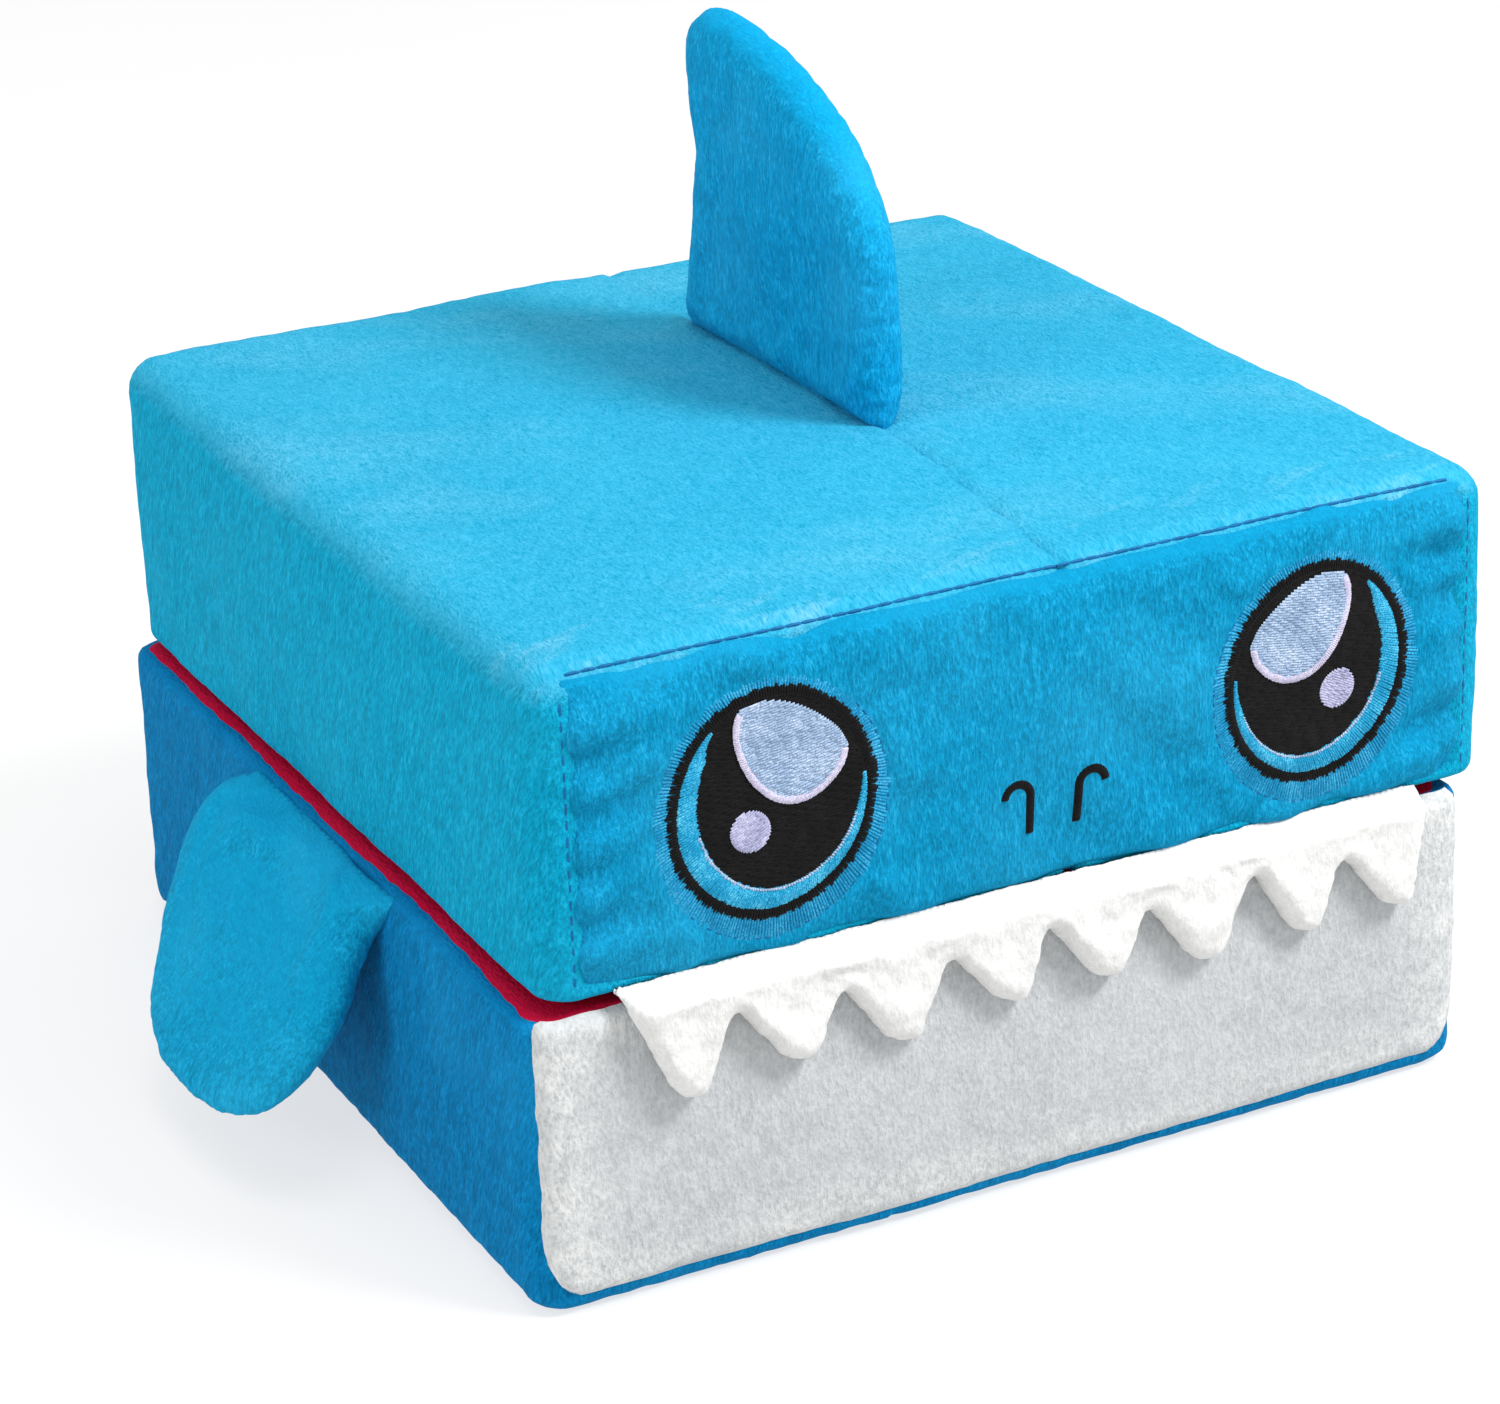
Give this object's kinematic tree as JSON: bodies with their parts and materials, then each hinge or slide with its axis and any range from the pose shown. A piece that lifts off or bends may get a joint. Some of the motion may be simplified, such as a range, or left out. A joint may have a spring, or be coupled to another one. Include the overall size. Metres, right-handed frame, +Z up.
{
  "type": "plush shark",
  "caption": "Box-shaped plush shark whose stuffed lid hinges open at the back as the upper jaw, with a row of plush teeth, soft fins and a lined hollow inside.",
  "frame": {"origin": "centre of the flat resting face, below the centre of the lower half", "axes": "+X to the toy's left hand side as it faces the viewer's right, -Y out of the mouth, +Z up"},
  "size_m": [0.3374, 0.2695, 0.2441],
  "materials": {
    "lid_plush": "short plush pile, light sky blue",
    "face_plush": "short plush pile, mid blue",
    "base_plush": "short plush pile, deep blue",
    "dorsal_plush": "short plush pile, mid blue",
    "pectoral_plush": "short plush pile, mid blue",
    "belly_plush": "short plush pile, light grey",
    "teeth_plush": "short plush pile, white",
    "mouth_plush": "short plush pile, crimson",
    "filling": "polyester fibre filling",
    "foam": "open-cell polyurethane foam slab",
    "black_thread": "satin embroidery thread, black",
    "blue_thread": "satin embroidery thread, blue",
    "blue_thread_dark": "running stitch, dark blue",
    "bright_thread": "satin embroidery thread, bright blue",
    "sky_thread": "satin embroidery thread, pale blue",
    "lilac_thread": "satin embroidery thread, pale lilac",
    "pale_thread": "satin embroidery thread, lavender"
  },
  "bodies": {
    "base": {"base_cover_bottom": "base_plush", "base_front_panel": "belly_plush", "base_cover_back": "base_plush", "base_cover_left": "base_plush", "base_cover_right": "base_plush", "base_lining": "mouth_plush", "hinge_fold": "base_plush", "base_foam_flat": "foam", "base_foam_left": "foam", "base_foam_right": "foam", "base_foam_front": "foam", "base_foam_back": "foam"},
    "lid": {"lid_cover_left": "lid_plush", "lid_cover_right": "lid_plush", "face_panel": "face_plush", "lid_lining": "mouth_plush", "lid_foam_flat": "foam", "lid_foam_left": "foam", "lid_foam_right": "foam", "lid_foam_front": "foam", "lid_foam_back": "foam", "eye_left_edge_line": "blue_thread_dark", "eye_left_halo": "blue_thread", "eye_left_outline": "black_thread", "eye_left_crescent": "bright_thread", "eye_left_pupil": "black_thread", "eye_left_highlight": "sky_thread", "eye_left_highlight_border": "lilac_thread", "eye_left_small_highlight": "pale_thread", "eye_right_edge_line": "blue_thread_dark", "eye_right_halo": "blue_thread", "eye_right_outline": "black_thread", "eye_right_crescent": "bright_thread", "eye_right_pupil": "black_thread", "eye_right_highlight": "sky_thread", "eye_right_highlight_border": "lilac_thread", "eye_right_small_highlight": "pale_thread", "nostril_left": "black_thread", "nostril_right": "black_thread"},
    "dorsal_fin": {"dorsal_fin_left_cover": "dorsal_plush", "dorsal_fin_right_cover": "dorsal_plush", "dorsal_fin_filling": "filling"},
    "pectoral_fin_left": {"pectoral_fin_left_outer_cover": "pectoral_plush", "pectoral_fin_left_inner_cover": "pectoral_plush", "pectoral_fin_left_filling": "filling"},
    "pectoral_fin_right": {"pectoral_fin_right_outer_cover": "pectoral_plush", "pectoral_fin_right_inner_cover": "pectoral_plush", "pectoral_fin_right_filling": "filling"},
    "teeth": {"teeth_front_cover": "teeth_plush", "teeth_back_cover": "teeth_plush", "teeth_filling": "filling"}
  },
  "joints": [
    {"name": "lid_hinge", "type": "hinge", "parent": "base", "child": "lid", "pos_m": [0, 0.13, 0.0765], "axis": [-1, 0, 0], "range_deg": [0, 110]},
    {"name": "dorsal_fin_lean", "type": "hinge", "parent": "lid", "child": "dorsal_fin", "pos_m": [0.02, 0.019, 0.1548], "axis": [0, 1, 0], "range_deg": [-20, 20], "stiffness_Nm_per_rad": 0.3},
    {"name": "pectoral_fin_left_lift", "type": "hinge", "parent": "base", "child": "pectoral_fin_left", "pos_m": [-0.127, -0.003, 0.074], "axis": [0, 1, 0], "range_deg": [-12, 60], "stiffness_Nm_per_rad": 0.3},
    {"name": "pectoral_fin_right_lift", "type": "hinge", "parent": "base", "child": "pectoral_fin_right", "pos_m": [0.127, -0.003, 0.074], "axis": [0, -1, 0], "range_deg": [-12, 60], "stiffness_Nm_per_rad": 0.3},
    {"name": "teeth_flap", "type": "hinge", "parent": "lid", "child": "teeth", "pos_m": [0.0025, -0.1304, 0.0776], "axis": [-1, 0, 0], "range_deg": [0, 75], "stiffness_Nm_per_rad": 0.05}
  ]
}
